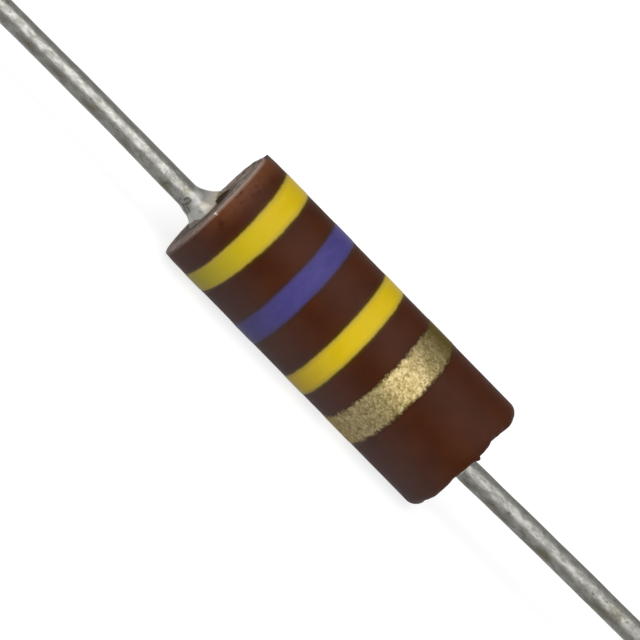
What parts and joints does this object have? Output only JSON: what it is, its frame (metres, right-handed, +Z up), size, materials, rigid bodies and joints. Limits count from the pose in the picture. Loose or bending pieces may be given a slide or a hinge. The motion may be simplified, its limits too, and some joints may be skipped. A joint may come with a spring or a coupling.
{
  "type": "axial resistor",
  "caption": "Axial resistor: a brown moulded cylinder with painted colour bands, and a tinned wire lead from each end.",
  "frame": {"origin": "on the bench under the middle of the body: centre of the bounding box in X and Y, lowest point of the painted bands in Z", "axes": "+X along the body from the first band towards the tolerance band, +Z up from the bench it lies on"},
  "size_m": [0.0907, 0.0058, 0.0058],
  "materials": {
    "jacket": "dark reddish brown moulding compound, faint sheen",
    "carbon_composition": "matt black carbon and resin",
    "tinned_wire": "dull mottled tin on copper wire",
    "solder": "satin solder",
    "yellow_paint": "thin opaque yellow paint",
    "violet_paint": "thin opaque violet paint",
    "gold_paint": "gold paint with metal flake"
  },
  "bodies": {
    "root": {"jacket": "jacket", "resistance_element": "carbon_composition", "lead_left": "tinned_wire", "lead_right": "tinned_wire", "solder_left": "solder", "solder_right": "solder", "band_1_yellow": "yellow_paint", "band_2_violet": "violet_paint", "band_3_yellow": "yellow_paint", "band_4_gold": "gold_paint"}
  },
  "joints": []
}
